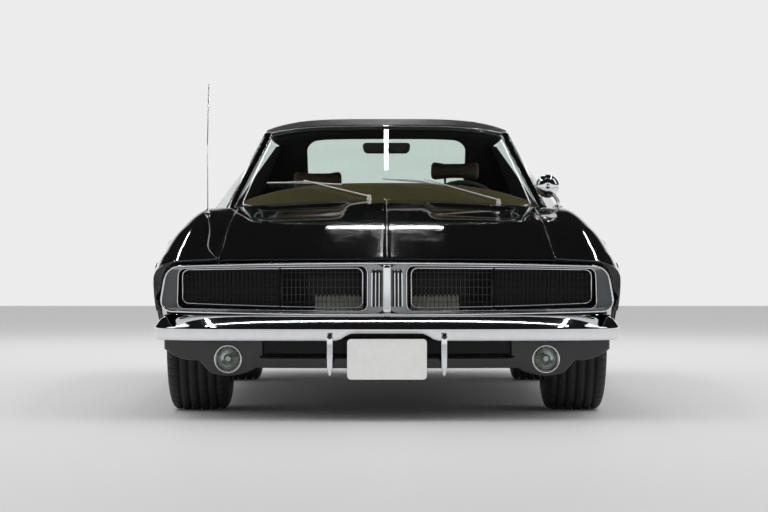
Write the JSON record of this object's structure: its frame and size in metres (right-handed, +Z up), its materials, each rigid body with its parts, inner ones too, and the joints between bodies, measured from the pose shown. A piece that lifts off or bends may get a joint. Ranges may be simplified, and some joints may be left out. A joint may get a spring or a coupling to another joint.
{
  "type": "muscle car",
  "caption": "Two-door hardtop muscle car with hidden headlamps behind a full-width grille, opening doors, hood and trunk lid, steered front wheels and a hollow cabin.",
  "frame": {"origin": "on the ground, at the middle of the car's length and width", "axes": "+Y towards the tail, +Z up, +X towards the car's left side"},
  "size_m": [1.9456, 5.283, 1.4322],
  "materials": {
    "paint": "gloss black",
    "roof_cover": "satin black grained roof covering",
    "glass": "pale green tint",
    "chrome": "bright",
    "black_trim": "satin black",
    "lamp_glass": "fluted clear lens",
    "lamp_red": "red lens",
    "underbody": "satin black",
    "running_gear": "dark",
    "exhaust_steel": "dull",
    "seat_hide": "brown",
    "dash_trim": "brown padded",
    "tyre": "black rubber",
    "wheel_metal": "bright cast"
  },
  "bodies": {
    "body": {"front_fenders": "paint", "cowl": "paint", "quarter_panels": "paint", "deck_panel": "paint", "roof": "roof_cover", "windshield": "glass", "rear_window": "glass", "quarter_glass": "glass", "front_bumper": "chrome", "rear_bumper": "chrome", "grille_surround": "chrome", "wipers": "chrome", "aerial": "chrome", "grille_mesh": "black_trim", "front_valance": "black_trim", "tail_panel": "black_trim", "plate_bracket": "black_trim", "headlamps": "lamp_glass", "park_lamps": "lamp_glass", "tail_lamps": "lamp_red", "floor_pan": "underbody", "front_structure": "underbody", "fire_wall": "underbody", "radiator": "underbody", "leaf_springs": "underbody", "fuel_tank": "underbody", "engine": "running_gear", "front_suspension": "running_gear", "rear_axle_beam": "running_gear", "exhaust": "exhaust_steel", "front_seats": "seat_hide", "rear_seat": "seat_hide", "dashboard": "dash_trim", "cabin_mirror": "dash_trim"},
    "hood": {"hood": "paint"},
    "trunk_lid": {"trunk_lid": "paint"},
    "door_left": {"door_left": "paint", "door_glass_left": "glass", "door_mirror": "chrome"},
    "door_right": {"door_right": "paint", "door_glass_right": "glass"},
    "headlamp_cover_left": {"headlamp_cover_left": "black_trim"},
    "headlamp_cover_right": {"headlamp_cover_right": "black_trim"},
    "steering_wheel": {"steering_wheel": "dash_trim"},
    "knuckle_left": {"knuckle_left": "running_gear"},
    "knuckle_right": {"knuckle_right": "running_gear"},
    "wheel_front_left": {"tyre_front_left": "tyre", "wheel_front_left": "wheel_metal"},
    "wheel_front_right": {"tyre_front_right": "tyre", "wheel_front_right": "wheel_metal"},
    "wheel_rear_left": {"tyre_rear_left": "tyre", "wheel_rear_left": "wheel_metal"},
    "wheel_rear_right": {"tyre_rear_right": "tyre", "wheel_rear_right": "wheel_metal"}
  },
  "joints": [
    {"name": "hood_hinge", "type": "hinge", "parent": "body", "child": "hood", "pos_m": [0, -0.9775, 0.922], "axis": [-1, 0, 0], "range_deg": [0, 50]},
    {"name": "trunk_hinge", "type": "hinge", "parent": "body", "child": "trunk_lid", "pos_m": [0, 1.2625, 0.958], "axis": [1, 0, 0], "range_deg": [0, 70]},
    {"name": "door_left_hinge", "type": "hinge", "parent": "body", "child": "door_left", "pos_m": [0.953, -0.9015, 0.55], "axis": [0, 0, -1], "range_deg": [0, 65]},
    {"name": "door_right_hinge", "type": "hinge", "parent": "body", "child": "door_right", "pos_m": [-0.953, -0.9015, 0.55], "axis": [0, 0, 1], "range_deg": [0, 65]},
    {"name": "headlamp_cover_left_hinge", "type": "hinge", "parent": "body", "child": "headlamp_cover_left", "pos_m": [0.43121, -2.49844, 0.598], "axis": [0.9935, 0.1136, 0], "range_deg": [0, 85]},
    {"name": "headlamp_cover_right_hinge", "type": "hinge", "parent": "body", "child": "headlamp_cover_right", "pos_m": [-0.43121, -2.49844, 0.598], "axis": [0.9935, -0.1136, 0], "range_deg": [0, 85]},
    {"name": "steer_left", "type": "hinge", "parent": "body", "child": "knuckle_left", "pos_m": [0.7, -1.6715, 0.343], "axis": [0, 0, 1], "range_deg": [-30, 30]},
    {"name": "steer_right", "type": "hinge", "parent": "body", "child": "knuckle_right", "pos_m": [-0.7, -1.6715, 0.343], "axis": [0, 0, 1], "range_deg": [-30, 30]},
    {"name": "steering_wheel_turn", "type": "hinge", "parent": "body", "child": "steering_wheel", "pos_m": [0.36, -0.4475, 0.83993], "axis": [0, 0.9135, 0.4067], "range_deg": [-480, 480]},
    {"name": "wheel_front_left_spin", "type": "hinge", "parent": "knuckle_left", "child": "wheel_front_left", "pos_m": [0.801, -1.6715, 0.343], "axis": [1, 0, 0], "continuous": true},
    {"name": "wheel_front_right_spin", "type": "hinge", "parent": "knuckle_right", "child": "wheel_front_right", "pos_m": [-0.801, -1.6715, 0.343], "axis": [1, 0, 0], "continuous": true},
    {"name": "wheel_rear_left_spin", "type": "hinge", "parent": "body", "child": "wheel_rear_left", "pos_m": [0.801, 1.3005, 0.343], "axis": [1, 0, 0], "continuous": true},
    {"name": "wheel_rear_right_spin", "type": "hinge", "parent": "body", "child": "wheel_rear_right", "pos_m": [-0.801, 1.3005, 0.343], "axis": [1, 0, 0], "continuous": true}
  ],
  "couplings": [
    {"joint": "steer_right", "follows": "steer_left", "ratio": 1},
    {"joint": "steering_wheel_turn", "follows": "steer_left", "ratio": 16}
  ]
}
